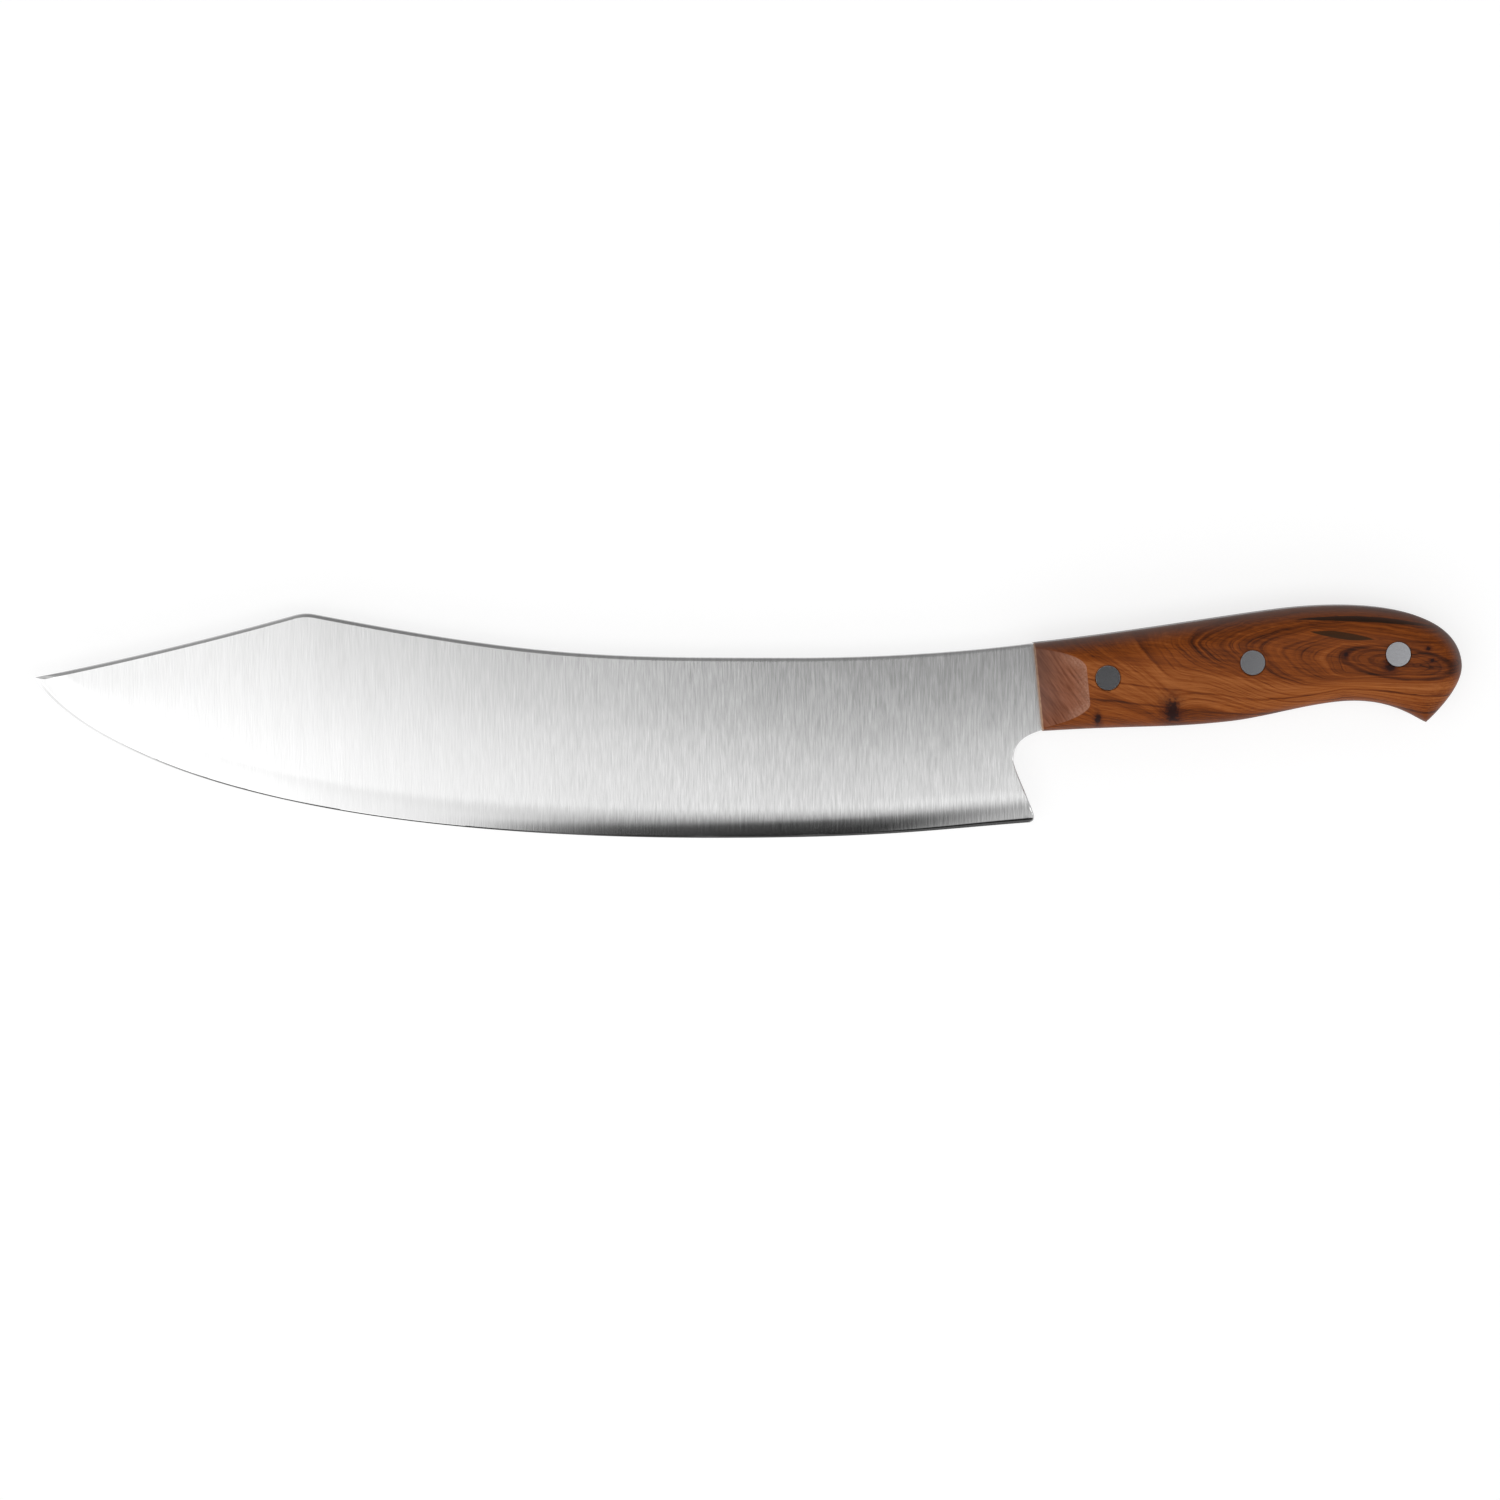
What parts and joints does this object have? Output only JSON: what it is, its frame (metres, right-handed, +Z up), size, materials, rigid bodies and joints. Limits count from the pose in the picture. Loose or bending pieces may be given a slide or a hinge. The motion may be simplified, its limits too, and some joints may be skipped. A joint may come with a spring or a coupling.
{
  "type": "butcher knife",
  "caption": "Long butcher knife with a curved clip-point steel blade, a full tang, shaped wooden handle scales and flush metal rivets, for slicing and trimming meat.",
  "frame": {"origin": "middle of the bottom of the knife's box, with the knife lying flat on its right side", "axes": "+X from the tip to the butt, +Y from the cutting edge to the spine, +Z up, out of the knife's left side"},
  "size_m": [0.427, 0.07, 0.0195],
  "materials": {
    "blade_steel": "satin, fine brush lines across the blade",
    "handle_wood": "oiled hardwood with marked figure",
    "rivet_metal": "ground flush, matt"
  },
  "bodies": {
    "root": {"blade": "blade_steel", "scale_left": "handle_wood", "scale_right": "handle_wood", "rivet_front_female": "rivet_metal", "rivet_front_male": "rivet_metal", "rivet_middle_female": "rivet_metal", "rivet_middle_male": "rivet_metal", "rivet_rear_female": "rivet_metal", "rivet_rear_male": "rivet_metal"}
  },
  "joints": []
}
